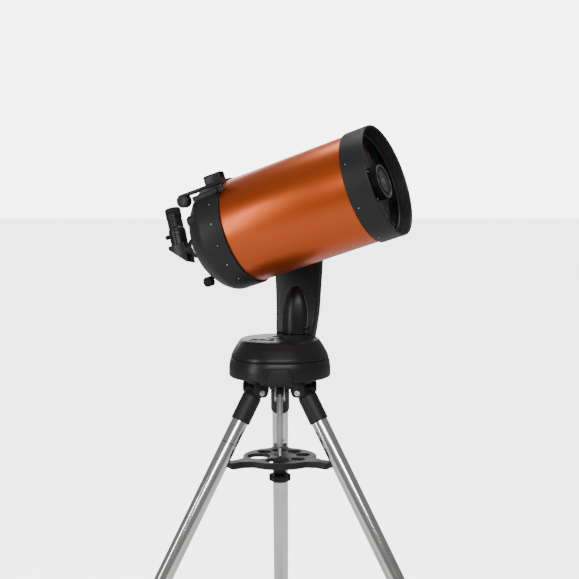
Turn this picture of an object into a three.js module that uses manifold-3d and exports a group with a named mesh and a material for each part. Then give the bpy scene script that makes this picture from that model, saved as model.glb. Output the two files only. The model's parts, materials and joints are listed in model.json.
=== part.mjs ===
// A Schmidt-Cassegrain telescope on a one-armed computer mount and a field tripod.
// Millimetres, +Z up. Heights are first measured from the underside of the mount's base,
// and the finished group is then stood on its three feet.
import * as THREE from "three";
import { mergeVertices } from "three/addons/utils/BufferGeometryUtils.js";
import Module from "manifold-3d";

const wasm = await Module();
wasm.setup();

// ---- Driving dimensions ----
const GAP = 0.3; // clearance between neighbouring pieces
const ROUND = 32; // sides of the large turned pieces
const FINE = 12; // sides of the small ones
const RUNNING = 24; // sides of a shaft or a bore that turns in its fit
const SCREW_RADIUS = 3; // the stem of each clamping screw
const DEG = Math.PI / 180;

const FLOOR = -700; // the floor, below the base
const HEAD_RADIUS = 75;
const HEAD_TOP = 10;
const HEAD_UNDERSIDE = -8;
const HINGE_RADIUS = 63;
const HINGE_HEIGHT = -25;
const LEG_TILT = 30 * DEG;
const LEG_AZIMUTHS = { rear: 90, left: 210, right: 330 };
const LEG_TUBE_RADIUS = 18.25;
const LOWER_LEG_RADIUS = 15.9;
const TRAY_TOP = -176;
const TRAY_RADIUS = 82;
const TRAY_TIP_RADIUS = 128.9;

const MOUNT_TURN = -23.44 * DEG; // the mount's heading about the azimuth axis
const BASE_RADIUS = 112;
const SEAM_HEIGHT = 46;
const DECK_HEIGHT = 87;
const LID_RADIUS = 27.4;

const PIVOT_HEIGHT = 346; // the altitude axis
const TUBE_OFFSET = -50; // the optical axis, from the azimuth axis
const TUBE_ELEVATION = 18.66 * DEG;
const ARM_SPLIT = 105; // the plane where the arm's two shells meet

const TUBE_RADIUS = 115;
const TUBE_WALL = 1.8;
const CELL_RADIUS = 119.3;
const CELL_BORE = 114.3;
const TUBE_REAR = -57.7;
const TUBE_FRONT = 228;
const RIM_FRONT = 280.7;
const BAFFLE_RADIUS = 22;
const DIAGONAL_STATION = -228;
const DIAGONAL_LEAN = -9.5 * DEG;

// ---- Finishes ----
const finish = (color, roughness, metalness) =>
  new THREE.MeshStandardMaterial({ color, roughness, metalness });
const copperPaint = finish(0xc8622a, 0.25, 0.6);
const satinBlack = finish(0x17181a, 0.45, 0.0);
const shellPlastic = finish(0x1c1d20, 0.4, 0.0);
const castAlloy = finish(0x202124, 0.5, 0.3);
const stainless = finish(0xc9ccd0, 0.12, 1.0);
const zincSteel = finish(0x9a9ca0, 0.35, 1.0);
const brass = finish(0xb08d4a, 0.35, 1.0);
const rubber = finish(0x121212, 0.85, 0.0);
const glass = finish(0xb8c8c8, 0.05, 0.0);
const mirror = finish(0xe8eaec, 0.03, 1.0);

// ---- Shape helpers ----

/** A geometry as a solid for joins and cuts, with its faces turned outwards. */
function solidOf(geometry) {
  const loose = geometry.index ? geometry.toNonIndexed() : geometry.clone();
  loose.deleteAttribute("normal");
  loose.deleteAttribute("uv");
  const welded = mergeVertices(loose, 1e-3);
  const place = welded.attributes.position;
  const [a, b, c] = [0, 1, 2].map(() => new THREE.Vector3());
  const faces = [];
  let volume = 0;
  for (let i = 0; i < welded.index.count; i += 3) {
    const face = [0, 1, 2].map((k) => welded.index.getX(i + k));
    if (new Set(face).size < 3) continue;
    faces.push(face);
    a.fromBufferAttribute(place, face[0]);
    b.fromBufferAttribute(place, face[1]);
    c.fromBufferAttribute(place, face[2]);
    volume += a.dot(b.cross(c));
  }
  if (volume < 0) faces.forEach((face) => face.reverse());
  const mesh = {
    numProp: 3,
    vertProperties: place.array,
    triVerts: new Uint32Array(faces.flat()),
  };
  return new wasm.Manifold(new wasm.Mesh(mesh));
}

/** Several geometries or solids as one solid. */
const join = (...shapes) => shapes.map(asSolid).reduce((whole, shape) => whole.add(shape));

/** A shape with others taken out of it. */
const cut = (shape, ...tools) =>
  tools.map(asSolid).reduce((rest, tool) => rest.subtract(tool), asSolid(shape));

const asSolid = (shape) => (shape.isBufferGeometry ? solidOf(shape) : shape);

/** A named piece, put in its group. */
function addPiece(group, name, shape, material) {
  const solid = asSolid(shape).getMesh();
  const geometry = new THREE.BufferGeometry();
  geometry.setAttribute("position", new THREE.BufferAttribute(solid.vertProperties, 3));
  geometry.setIndex(new THREE.BufferAttribute(solid.triVerts, 1));
  geometry.computeVertexNormals();
  const mesh = new THREE.Mesh(geometry, material);
  mesh.name = name;
  group.add(mesh);
  return mesh;
}

/** A profile of [radius, height] points turned about Z. It starts and ends on the axis. */
function turned(profile, sides = FINE) {
  const points = profile.map(([radius, height]) => new THREE.Vector2(radius, height));
  return new THREE.LatheGeometry(points, sides).rotateX(90 * DEG);
}

/** A ring section of [radius, height] points turned about Z. */
const turnedRing = (section, sides = FINE) => turned([...section, section[0]], sides);

const rod = (radius, low, high, sides = FINE) =>
  turned([[0, low], [radius, low], [radius, high], [0, high]], sides);

const sleeve = (inner, outer, low, high, sides = FINE) =>
  turnedRing([[inner, low], [outer, low], [outer, high], [inner, high]], sides);

/** Turns a shape made about Z so that it stands about X, or about Y. */
const aboutX = (geometry) => geometry.rotateY(90 * DEG);
const aboutY = (geometry) => geometry.rotateX(-90 * DEG);

/** A block between two corners. */
const block = (low, high) =>
  new THREE.BoxGeometry(high[0] - low[0], high[1] - low[1], high[2] - low[2]).translate(
    (low[0] + high[0]) / 2,
    (low[1] + high[1]) / 2,
    (low[2] + high[2]) / 2,
  );

/** A plate with an outline of [x, y] points, between two heights. */
function plate(outline, low, high) {
  const shape = new THREE.Shape(outline.map(([x, y]) => new THREE.Vector2(x, y)));
  return new THREE.ExtrudeGeometry(shape, { depth: high - low, bevelEnabled: false }).translate(0, 0, low);
}

/** A plate standing in the XZ plane, between two places along Y. */
const uprightPlate = (outline, low, high) => plate(outline, -high, -low).rotateX(90 * DEG);

/** A round outline whose radius changes with the angle. */
const polar = (count, radiusAt) =>
  Array.from({ length: count }, (_, i) => {
    const angle = (i / count) * 2 * Math.PI;
    return [radiusAt(angle, i) * Math.cos(angle), radiusAt(angle, i) * Math.sin(angle)];
  });

/** A gear blank with square teeth. */
const gear = (teeth, root, tip, low, high) =>
  plate(polar(teeth * 4, (_, i) => (i % 4 < 2 ? tip : root)), low, high);

/** A solid skin over a stack of like loops of points, closed at both ends. */
function loft(loops) {
  const count = loops[0].length;
  const middle = (loop) =>
    loop.reduce((sum, p) => sum.add(p), new THREE.Vector3()).divideScalar(count);
  const points = [...loops.flat(), middle(loops[0]), middle(loops.at(-1))];
  const faces = [];
  for (let i = 0; i < count; i++) {
    const next = (i + 1) % count;
    for (let k = 0; k + 1 < loops.length; k++) {
      const [low, high] = [k * count, (k + 1) * count];
      faces.push(low + i, low + next, high + next, low + i, high + next, high + i);
    }
    const top = (loops.length - 1) * count;
    faces.push(points.length - 2, next, i);
    faces.push(points.length - 1, top + i, top + next);
  }
  const geometry = new THREE.BufferGeometry().setFromPoints(points);
  return geometry.setIndex(faces);
}

const telescope = new THREE.Group();

// ---- Tripod head: a disc with three pairs of ears that hold the legs ----
const EAR_GAP = 25; // half the space between a pair of ears
const EAR_OUTSIDE = 31;
const PIN_RADIUS = 4;
const PIN_HEAD_RADIUS = 7;
const PIN_HEAD = 4; // thickness of each head
const SPINDLE_RADIUS = 8;

const atLeg = (geometry, azimuth) => geometry.rotateZ(azimuth * DEG);

function tripodHead() {
  const disc = turnedRing(
    [
      [SPINDLE_RADIUS + GAP, HEAD_UNDERSIDE],
      [HEAD_RADIUS, HEAD_UNDERSIDE],
      [HEAD_RADIUS, HEAD_TOP - 2],
      [HEAD_RADIUS - 2, HEAD_TOP],
      [SPINDLE_RADIUS + GAP, HEAD_TOP],
    ],
    ROUND,
  );
  const ear = [[44, 4], [44, -24], [50, -36], [71, -36], [77, -27], [77, -8], [70, 4]];
  let head = solidOf(disc);
  for (const azimuth of Object.values(LEG_AZIMUTHS)) {
    for (const [near, far] of [[EAR_GAP, EAR_OUTSIDE], [-EAR_OUTSIDE, -EAR_GAP]])
      head = join(head, atLeg(uprightPlate(ear, near, far), azimuth));
    const bore = aboutY(rod(PIN_RADIUS + GAP, -40, 40)).translate(HINGE_RADIUS, 0, HINGE_HEIGHT);
    head = cut(head, atLeg(bore, azimuth));
  }
  return head;
}

const tripod = new THREE.Group();
telescope.add(tripod);
addPiece(tripod, "tripod_head", tripodHead(), castAlloy);

// The centre rod hangs from the head, and its lower end is threaded for the tray's knob.
const ROD_END = -232;
const THREAD_RADIUS = 5;
const centreRod = turned([
  [0, ROD_END],
  [THREAD_RADIUS, ROD_END],
  [THREAD_RADIUS, -157],
  [7, -157],
  [7, -53],
  [14, -53],
  [14, -14],
  [24, -14],
  [24, HEAD_UNDERSIDE - GAP],
  [0, HEAD_UNDERSIDE - GAP],
]);
addPiece(tripod, "centre_rod", centreRod, zincSteel);

// ---- Accessory tray: a flanged plate that spreads the legs and holds eyepieces ----
const TRAY_HOLES = [
  // radius of the hole, distance from the middle, angle
  [25, 47, 185],
  [25, 47, 265],
  [15.5, 52, -40],
  [15.5, 52, 10],
  [15.5, 52, 51],
  [15.5, 52, 92],
  [15.5, 52, 132],
];
const TRAY_SKIRT = -192;
const TRAY_PLATE = 4.5;
const HUB_END = -205;

function accessoryTray() {
  const arm = [[55, -24], [TRAY_TIP_RADIUS, -15], [TRAY_TIP_RADIUS, 15], [55, 24]];
  let tray = join(
    rod(TRAY_RADIUS, TRAY_TOP - TRAY_PLATE, TRAY_TOP, ROUND),
    sleeve(TRAY_RADIUS - 2.5, TRAY_RADIUS, TRAY_SKIRT, TRAY_TOP - 1, ROUND),
    rod(16, HUB_END, TRAY_TOP - 1),
  );
  for (const azimuth of Object.values(LEG_AZIMUTHS))
    tray = join(tray, atLeg(plate(arm, TRAY_TOP - 7, TRAY_TOP), azimuth));
  const holes = TRAY_HOLES.map(([radius, distance, angle]) =>
    rod(radius, TRAY_TOP - 10, TRAY_TOP + 1, 14)
      .translate(distance, 0, 0)
      .rotateZ(angle * DEG),
  );
  return cut(tray, rod(THREAD_RADIUS + GAP, HUB_END - 1, TRAY_TOP + 1), ...holes);
}
addPiece(tripod, "accessory_tray", accessoryTray(), satinBlack);

const trayKnob = cut(
  join(
    rod(14, HUB_END - 12, HUB_END - GAP),
    plate(polar(30, (angle) => 22 + 2.2 * Math.cos(6 * angle)), -236, HUB_END - 11),
  ),
  rod(THREAD_RADIUS + GAP, ROD_END - 2, HUB_END + 1),
);
addPiece(tripod, "tray_knob", trayKnob, satinBlack);

// ---- Legs: each hangs on a pin, and its lower section slides out of its tube ----
const SLEEVE_RADIUS = 21.3;
const SLEEVE_END = -73;
const LEG_TUBE_TOP = -22.3;
const LEG_TUBE_END = -712;
const LOWER_LEG_TOP = -330;
const LOWER_LEG_END = -744;
const CLAMP_HEIGHT = -701;

function legSleeve() {
  const body = turned([
    [0, -4],
    [16, -4],
    [SLEEVE_RADIUS, -14],
    [SLEEVE_RADIUS, SLEEVE_END],
    [LEG_TUBE_RADIUS + GAP, SLEEVE_END],
    [LEG_TUBE_RADIUS + GAP, LEG_TUBE_TOP + GAP],
    [0, LEG_TUBE_TOP + GAP],
  ]);
  const eye = aboutY(rod(13, -EAR_GAP + 0.5, EAR_GAP - 0.5));
  return cut(join(body, eye), aboutY(rod(PIN_RADIUS + GAP, -30, 30)));
}

function legClamp() {
  const collar = turnedRing([
    [LEG_TUBE_RADIUS + GAP, -688],
    [23, -688],
    [23, -716],
    [20, -724],
    [LOWER_LEG_RADIUS + GAP, -724],
    [LOWER_LEG_RADIUS + GAP, LEG_TUBE_END - GAP],
    [LEG_TUBE_RADIUS + GAP, LEG_TUBE_END - GAP],
  ]);
  const boss = aboutX(rod(9, 19.5, 30)).translate(0, 0, CLAMP_HEIGHT);
  const bore = aboutX(rod(SCREW_RADIUS + GAP, 22, 31)).translate(0, 0, CLAMP_HEIGHT);
  return cut(join(collar, boss), bore);
}

function clampKnob() {
  const grip = plate(polar(20, (angle) => 14.5 + 1.2 * Math.cos(5 * angle)), 30.3, 42);
  return join(aboutX(grip), aboutX(rod(SCREW_RADIUS, 23, 31)));
}

/** The rubber foot, cut level so that it lies flat on the floor. */
function legFoot() {
  const boot = turned([[0, -820], [20.5, -820], [20.5, -772], [19, -752], [15.5, -744.3], [0, -744.3]]);
  const ground = block([0, -60, FLOOR - HINGE_HEIGHT - 200], [900, 60, FLOOR - HINGE_HEIGHT]);
  return cut(boot, ground.rotateY(LEG_TILT));
}

const pinShape = join(
  aboutY(rod(PIN_RADIUS, -EAR_OUTSIDE - 2, EAR_OUTSIDE + 2)),
  aboutY(rod(PIN_HEAD_RADIUS, EAR_OUTSIDE + GAP, EAR_OUTSIDE + PIN_HEAD)),
  aboutY(rod(PIN_HEAD_RADIUS, -EAR_OUTSIDE - PIN_HEAD, -EAR_OUTSIDE - GAP)),
);

for (const [side, azimuth] of Object.entries(LEG_AZIMUTHS)) {
  const spoke = new THREE.Group();
  spoke.rotation.z = azimuth * DEG;
  tripod.add(spoke);
  const leg = new THREE.Group();
  leg.position.set(HINGE_RADIUS, 0, HINGE_HEIGHT);
  leg.rotation.y = -LEG_TILT;
  spoke.add(leg);

  addPiece(leg, `leg_pin_${side}`, pinShape, zincSteel);
  addPiece(leg, `leg_sleeve_${side}`, legSleeve(), satinBlack);
  const upper = sleeve(LEG_TUBE_RADIUS - 1.4, LEG_TUBE_RADIUS, LEG_TUBE_END, LEG_TUBE_TOP);
  addPiece(leg, `leg_tube_${side}`, upper, stainless);
  const lower = sleeve(LOWER_LEG_RADIUS - 1.3, LOWER_LEG_RADIUS, LOWER_LEG_END, LOWER_LEG_TOP);
  addPiece(leg, `lower_leg_${side}`, lower, stainless);
  addPiece(leg, `leg_clamp_${side}`, legClamp(), satinBlack);
  addPiece(leg, `clamp_knob_${side}`, clampKnob(), satinBlack).position.z = CLAMP_HEIGHT;
  addPiece(leg, `leg_foot_${side}`, legFoot(), rubber);
}

// ---- Base: the lower shell is bolted to the tripod, and the upper shell turns on it ----
const mount = new THREE.Group();
mount.rotation.z = MOUNT_TURN;
telescope.add(mount);

const FLOOR_TOP = 14; // upper face of the lower shell's floor
const SKIRT_BOTTOM = 5;
const WALL = 3.2;
const LUG_AZIMUTHS = [-90, 30, 150];
const LUG_FACE = 114.5;

function lowerBaseShell() {
  let shell = solidOf(
    turnedRing(
      [
        [SPINDLE_RADIUS + GAP, HEAD_TOP + GAP],
        [BASE_RADIUS - 7, HEAD_TOP + GAP],
        [BASE_RADIUS - 7, SKIRT_BOTTOM],
        [BASE_RADIUS - 2, SKIRT_BOTTOM],
        [BASE_RADIUS, SKIRT_BOTTOM + 3],
        [BASE_RADIUS, 25],
        [BASE_RADIUS - 4, SEAM_HEIGHT - GAP],
        [BASE_RADIUS - 4 - WALL, SEAM_HEIGHT - GAP],
        [BASE_RADIUS - WALL, 25],
        [BASE_RADIUS - WALL, FLOOR_TOP],
        [SPINDLE_RADIUS + GAP, FLOOR_TOP],
      ],
      ROUND,
    ),
  );
  const lug = [[-27, -1], [27, -1], [27, 12], [17.5, 35], [-17.5, 35], [-27, 12]];
  for (const azimuth of LUG_AZIMUTHS)
    shell = join(shell, uprightPlate(lug, -LUG_FACE, -106).rotateZ((azimuth + 90) * DEG));
  return shell;
}
addPiece(telescope, "lower_base_shell", lowerBaseShell(), shellPlastic);

// The azimuth gear and its spindle are fixed to the lower shell.
const GEAR_TIP = 62;
const azimuthGear = join(
  gear(20, GEAR_TIP - 3, GEAR_TIP, FLOOR_TOP + GAP, 22),
  rod(SPINDLE_RADIUS, HEAD_UNDERSIDE + GAP, SEAM_HEIGHT),
);
addPiece(telescope, "azimuth_gear", azimuthGear, brass);

// The upper shell is a dome that ends in a shallow crowned deck.
const DOME = [
  [88, 84.5],
  [91, 80],
  [97, 71],
  [103, 60],
  [106.5, 53],
  [BASE_RADIUS - 4.2, SEAM_HEIGHT + GAP],
];
const PANEL = { low: [-46, -60], high: [10, -38], top: 88.3, bottom: 84.9 };

function upperBaseShell() {
  const dome = turnedRing(
    [
      [LID_RADIUS + 0.4, DECK_HEIGHT - 2],
      [LID_RADIUS + 0.4, DECK_HEIGHT + 1.8],
      [85, DECK_HEIGHT],
      ...DOME,
      [BASE_RADIUS - 4.2 - WALL, SEAM_HEIGHT + GAP],
      [103, 53],
      [98, 63],
      [83, 84],
    ],
    ROUND,
  );
  const { low, high } = PANEL;
  const opening = block([low[0] - GAP, low[1] - GAP, 80], [high[0] + GAP, high[1] + GAP, 95]);
  return cut(dome, opening);
}
addPiece(mount, "upper_base_shell", upperBaseShell(), shellPlastic);

// The turntable closes the upper shell from below and runs on the spindle.
const TURNTABLE_TOP = 49.6;
const turntable = turnedRing(
  [
    [SPINDLE_RADIUS + GAP, 27],
    [20, 27],
    [20, 46.6],
    [103.2, 46.6],
    [103.2, TURNTABLE_TOP],
    [SPINDLE_RADIUS + GAP, TURNTABLE_TOP],
  ],
  ROUND,
);
addPiece(mount, "turntable", turntable, castAlloy);

const batteryPack = plate(polar(8, () => 26), TURNTABLE_TOP + GAP, DECK_HEIGHT - 3);
addPiece(mount, "battery_pack", batteryPack, satinBlack);

const batteryLid = turned(
  [
    [0, DECK_HEIGHT - 2.2],
    [LID_RADIUS, DECK_HEIGHT - 2.2],
    [LID_RADIUS, DECK_HEIGHT + 2.2],
    [LID_RADIUS - 2, DECK_HEIGHT + 3],
    [0, DECK_HEIGHT + 3.6],
  ],
  RUNNING,
);
addPiece(mount, "battery_lid", batteryLid, shellPlastic);

// The azimuth motor hangs from the turntable, and its pinion runs round the fixed gear.
const PINION_RADIUS = 8.6;
const azimuthMotor = join(
  gear(6, PINION_RADIUS - 2, PINION_RADIUS, FLOOR_TOP + 0.6, 22),
  rod(3, 20, 26),
  rod(13, 24, 46.3),
);
const motorReach = GEAR_TIP + PINION_RADIUS + 0.6;
addPiece(mount, "azimuth_motor", azimuthMotor, zincSteel).position.x = -motorReach;

// The panel holds two sockets and the rocker of the power switch.
const SWITCH = { x: 0, y: -49, z: 87, tilt: 10 * DEG };
const JACK_PLACES = [-37, -20];
const portPanel = cut(
  block([PANEL.low[0], PANEL.low[1], PANEL.bottom], [PANEL.high[0], PANEL.high[1], PANEL.top]),
  block([SWITCH.x - 6.4, SWITCH.y - 7.5, 80], [SWITCH.x + 6.4, SWITCH.y + 7.5, 95]),
  ...JACK_PLACES.map((x) => block([x - 6, SWITCH.y - 7, PANEL.top - 2.2], [x + 6, SWITCH.y + 7, 95])),
);
addPiece(mount, "port_panel", portPanel, satinBlack);

const rocker = block([-6, -6.5, -2.5], [6, 6.5, 2.5]).rotateX(SWITCH.tilt);
addPiece(mount, "power_switch", rocker.translate(SWITCH.x, SWITCH.y, SWITCH.z), satinBlack);

// ---- Arm: two shells of a D section that meet on an upright plane ----
// Each row is a level: height, half width, inner face and outermost face.
const ARM_LEVELS = [
  [54, 34, 79, 112],
  [74, 42.5, 79, 132],
  [96, 46, 80, 147],
  [140, 49.5, 89, 155],
  [193, 52.5, 92, 157],
  [250, 56, 93, 158],
  [300, 58.5, 93, 157],
  [PIVOT_HEIGHT, 58, 92, 154],
  [375, 50, 92, 148],
  [395, 31, 94, 138],
  [404, 10, 99, 126],
];

/** The D section of the arm at one level: a flat inner face and a half-round outer one. */
function armSection([height, halfWidth, inner, outer], wall = 0) {
  const width = halfWidth - wall;
  const face = inner + wall;
  const shoulder = Math.min(14, (outer - inner) / 3) + inner;
  const corner = Math.min(5, width / 3);
  const loop = [
    [-width, face + corner],
    [-width + corner, face],
    [width - corner, face],
    [width, face + corner],
  ];
  for (let i = 0; i <= 10; i++) {
    const angle = (i / 10) * Math.PI;
    loop.push([width * Math.cos(angle), shoulder + (outer - wall - shoulder) * Math.sin(angle)]);
  }
  return loop.map(([x, y]) => new THREE.Vector3(x, y, height));
}

const COLUMN_APEX = 194;

/** The bullet-shaped half column that stands on the deck against the arm's inner face. */
function armColumn() {
  const [foot, apex] = [DECK_HEIGHT, COLUMN_APEX];
  const levels = [0, 0.25, 0.5, 0.7, 0.85, 0.96, 1];
  const loops = levels.map((share) => {
    const width = 31.5 * Math.sqrt(1 - share ** 2.4) + 0.6;
    const reach = 24 * Math.sqrt(1 - share ** 2.4) + 0.6;
    const loop = [];
    for (let i = 0; i <= 8; i++) {
      const angle = (i / 8) * Math.PI;
      loop.push([-width * Math.cos(angle), 90 - reach * Math.sin(angle)]);
    }
    loop.push([width, 97], [-width, 97]);
    return loop.map(([x, y]) => new THREE.Vector3(x, y, foot + share * (apex - foot)));
  });
  return loft(loops);
}

/** Everything that the base's dome takes up, with a gap round it. */
const domeSpace = solidOf(
  turned(
    [
      [0, 0],
      [130, 0],
      [130, SEAM_HEIGHT],
      ...DOME.toReversed().map(([radius, height]) => [radius + 0.5, height + 0.4]),
      [85, DECK_HEIGHT + 0.5],
      [LID_RADIUS, DECK_HEIGHT + 2.4],
      [0, DECK_HEIGHT + 4.2],
    ],
    ROUND,
  ),
);

const armHollow = loft(
  ARM_LEVELS.slice(1, -1).map((level) => armSection(level, WALL)),
);
const armBody = cut(loft(ARM_LEVELS.map((level) => armSection(level))), armHollow, domeSpace);
const SHAFT_RADIUS = 14;
const shaftBore = aboutY(rod(SHAFT_RADIUS + GAP, 60, 112, RUNNING)).translate(0, 0, PIVOT_HEIGHT);
const innerSide = block([-150, ARM_SPLIT - GAP / 2 - 200, 0], [150, ARM_SPLIT - GAP / 2, 500]);
const outerSide = block([-150, ARM_SPLIT + GAP / 2, 0], [150, ARM_SPLIT + 200, 500]);
const column = cut(armColumn(), armHollow, domeSpace);
const armInner = cut(join(armBody.intersect(solidOf(innerSide)), column), shaftBore);
addPiece(mount, "arm_inner_shell", armInner, shellPlastic);
addPiece(mount, "arm_outer_shell", armBody.intersect(solidOf(outerSide)), shellPlastic);

// The altitude shaft carries the saddle and the tube on one side of the arm.
const GEAR_ROOM = [108, 116];
const ALTITUDE_GEAR_TIP = 40;
const shaft = join(
  aboutY(rod(SHAFT_RADIUS, 88.3, 140, RUNNING)),
  aboutY(rod(24, 96.5, 100)),
);
addPiece(mount, "altitude_shaft", shaft, zincSteel).position.z = PIVOT_HEIGHT;

const altitudeGear = cut(
  aboutY(gear(16, ALTITUDE_GEAR_TIP - 3, ALTITUDE_GEAR_TIP, ...GEAR_ROOM)),
  aboutY(rod(SHAFT_RADIUS + GAP, 90, 130, RUNNING)),
);
addPiece(mount, "altitude_gear", altitudeGear, brass).position.z = PIVOT_HEIGHT;

const altitudeMotor = join(
  aboutY(gear(6, PINION_RADIUS - 2, PINION_RADIUS, ...GEAR_ROOM)),
  aboutY(rod(3, 115, 120)),
  aboutY(rod(15, 118, 144)),
);
const motorDrop = ALTITUDE_GEAR_TIP + PINION_RADIUS + 0.6;
addPiece(mount, "altitude_motor", altitudeMotor, zincSteel).position.z = PIVOT_HEIGHT - motorDrop;

// ---- Optical tube assembly: X runs forwards along the optical axis, from the altitude axis ----
const optics = new THREE.Group();
optics.position.set(0, TUBE_OFFSET, PIVOT_HEIGHT);
optics.rotation.y = -TUBE_ELEVATION;
mount.add(optics);

/** A piece turned about the optical axis, from [radius, station] points. */
const onAxis = (profile, sides) => aboutX(turned(profile, sides));
const ringOnAxis = (section, sides) => aboutX(turnedRing(section, sides));

const BAR_INNER = 119.7;
const BAR_OUTER = 129.9;
const bar = [[-18, BAR_INNER], [18, BAR_INNER], [22, BAR_OUTER], [-22, BAR_OUTER]];
const alongTube = (outline, low, high) =>
  plate(outline.map(([z, y]) => [-z, y]), low, high).rotateY(90 * DEG);
addPiece(optics, "dovetail_bar", alongTube(bar, -103, 246), satinBlack);

function saddle() {
  const jaw = [[18.7, 120], [34, 120], [34, 131], [22.7, 131]];
  const mirrored = jaw.map(([z, y]) => [-z, y]).reverse();
  return join(
    aboutY(rod(36, BAR_OUTER + GAP, 137.9, 20)),
    alongTube(jaw, -30, 30),
    alongTube(mirrored, -30, 30),
  );
}
const SADDLE_SCREW = 126; // the screw's distance from the optical axis
const saddleBore = rod(SCREW_RADIUS + GAP, 28, 36).translate(0, SADDLE_SCREW, 0);
addPiece(optics, "saddle", cut(saddle(), saddleBore), castAlloy);

const saddleKnob = join(
  rod(SCREW_RADIUS, 29, 40),
  plate(polar(24, (angle) => 9.5 + 0.6 * Math.cos(6 * angle)), 37, 50),
);
addPiece(optics, "saddle_knob", saddleKnob, satinBlack).position.y = SADDLE_SCREW;

const opticalTube = ringOnAxis(
  [
    [TUBE_RADIUS - TUBE_WALL, TUBE_REAR + GAP],
    [TUBE_RADIUS, TUBE_REAR + GAP],
    [TUBE_RADIUS, TUBE_FRONT - GAP],
    [TUBE_RADIUS - TUBE_WALL, TUBE_FRONT - GAP],
  ],
  ROUND,
);
addPiece(optics, "optical_tube", opticalTube, copperPaint);

// The front cell holds the corrector plate on a ledge, under a retaining ring.
const LEDGE = 250;
const CORRECTOR_FRONT = 254;
const frontCell = ringOnAxis(
  [
    [112.5, TUBE_FRONT],
    [CELL_RADIUS, TUBE_FRONT],
    [CELL_RADIUS, RIM_FRONT - 1.7],
    [118, RIM_FRONT],
    [115.5, RIM_FRONT],
    [CELL_BORE, RIM_FRONT - 3],
    [CELL_BORE, LEDGE],
    [106, LEDGE],
    [106, LEDGE - 5],
    [112.5, LEDGE - 12],
  ],
  ROUND,
);
addPiece(optics, "front_cell", frontCell, satinBlack);

const STEM_RADIUS = 29.6;
const corrector = ringOnAxis(
  [
    [STEM_RADIUS + 0.4, LEDGE + GAP],
    [CELL_BORE - 0.4, LEDGE + GAP],
    [CELL_BORE - 0.4, CORRECTOR_FRONT],
    [STEM_RADIUS + 0.4, CORRECTOR_FRONT],
  ],
  ROUND,
);
addPiece(optics, "corrector_plate", corrector, glass);

const retainer = ringOnAxis(
  [
    [103, CORRECTOR_FRONT + GAP],
    [CELL_BORE - 0.4, CORRECTOR_FRONT + GAP],
    [CELL_BORE - 0.4, CORRECTOR_FRONT + 4],
    [103, CORRECTOR_FRONT + 4],
  ],
  ROUND,
);
addPiece(optics, "retaining_ring", retainer, satinBlack);

// The secondary mirror sits behind the corrector, on a holder that passes through it.
const secondaryHolder = onAxis(
  [
    [0, 244],
    [STEM_RADIUS, 244],
    [STEM_RADIUS, CORRECTOR_FRONT + GAP],
    [36, CORRECTOR_FRONT + GAP],
    [36, 270],
    [34, 272],
    [0, 272],
  ],
  RUNNING,
);
addPiece(optics, "secondary_holder", secondaryHolder, satinBlack);
addPiece(optics, "secondary_mirror", onAxis([[0, 237], [33, 236], [33, 243.7], [0, 243.7]], RUNNING), mirror);

const primary = ringOnAxis(
  [
    [BAFFLE_RADIUS + 0.5, -112],
    [30, -112],
    [34, -92],
    [101.5, -90],
    [101.5, -76],
    [62, -80],
    [BAFFLE_RADIUS + 0.5, -82],
  ],
  ROUND,
);
addPiece(optics, "primary_mirror", primary, mirror);

const REAR_FACE = -157;
const baffle = aboutX(sleeve(BAFFLE_RADIUS - 3, BAFFLE_RADIUS, REAR_FACE + 6.3, 60));
addPiece(optics, "baffle_tube", baffle, satinBlack);

const rearCell = ringOnAxis(
  [
    [CELL_RADIUS, TUBE_REAR],
    [CELL_RADIUS, -109],
    [116, -119],
    [106.5, -133],
    [88.5, -150],
    [78, REAR_FACE],
    [BAFFLE_RADIUS - 3, REAR_FACE],
    [BAFFLE_RADIUS - 3, REAR_FACE + 6],
    [76, REAR_FACE + 6],
    [102, -128],
    [CELL_BORE, -107],
    [CELL_BORE, TUBE_REAR],
  ],
  ROUND,
);
addPiece(optics, "rear_cell", rearCell, satinBlack);

const focusKnob = onAxis([
  [0, -180],
  [9.5, -180],
  [11, -178],
  [11, -160],
  [5, REAR_FACE - GAP - 1],
  [0, REAR_FACE - GAP - 1],
]);
addPiece(optics, "focus_knob", focusKnob, satinBlack).position.set(0, -27, -82);

const NOSE_RADIUS = 15.85; // half of the 31.7 mm that the fittings share
const visualBack = ringOnAxis(
  [
    [NOSE_RADIUS + GAP, REAR_FACE - GAP],
    [26, REAR_FACE - GAP],
    [26, -166],
    [23.5, -168],
    [23.5, -196],
    [NOSE_RADIUS + GAP, -196],
  ],
  RUNNING,
);
addPiece(optics, "visual_back", visualBack, satinBlack);

// ---- Star diagonal and eyepiece, leaning a little about the optical axis ----
const diagonal = new THREE.Group();
diagonal.position.x = DIAGONAL_STATION;
diagonal.rotation.x = DIAGONAL_LEAN;
optics.add(diagonal);

const BARREL_RADIUS = NOSE_RADIUS;
const SOCKET_RADIUS = 19.5;
const SOCKET_TOP = 50;
const SOCKET_SCREW = 44; // the thumbscrew's height
const prism = [[20, -27], [20, 19], [-22, 19], [-22, 11], [16, -27]];
const diagonalBody = cut(
  join(
    uprightPlate(prism, -17, 17),
    aboutX(rod(NOSE_RADIUS, 18, 68)),
    rod(SOCKET_RADIUS, 17, SOCKET_TOP),
  ),
  rod(BARREL_RADIUS + GAP, 21, SOCKET_TOP + 1),
);
addPiece(diagonal, "diagonal_body", diagonalBody, satinBlack);
const thumbscrew = join(
  aboutX(rod(2, -24, -SOCKET_RADIUS - 0.4)),
  onAxis([[0, -31], [4, -30], [5, -27], [4, -23], [0, -22]], 16),
);
addPiece(diagonal, "diagonal_thumbscrew", thumbscrew, satinBlack).position.z = SOCKET_SCREW;

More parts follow.
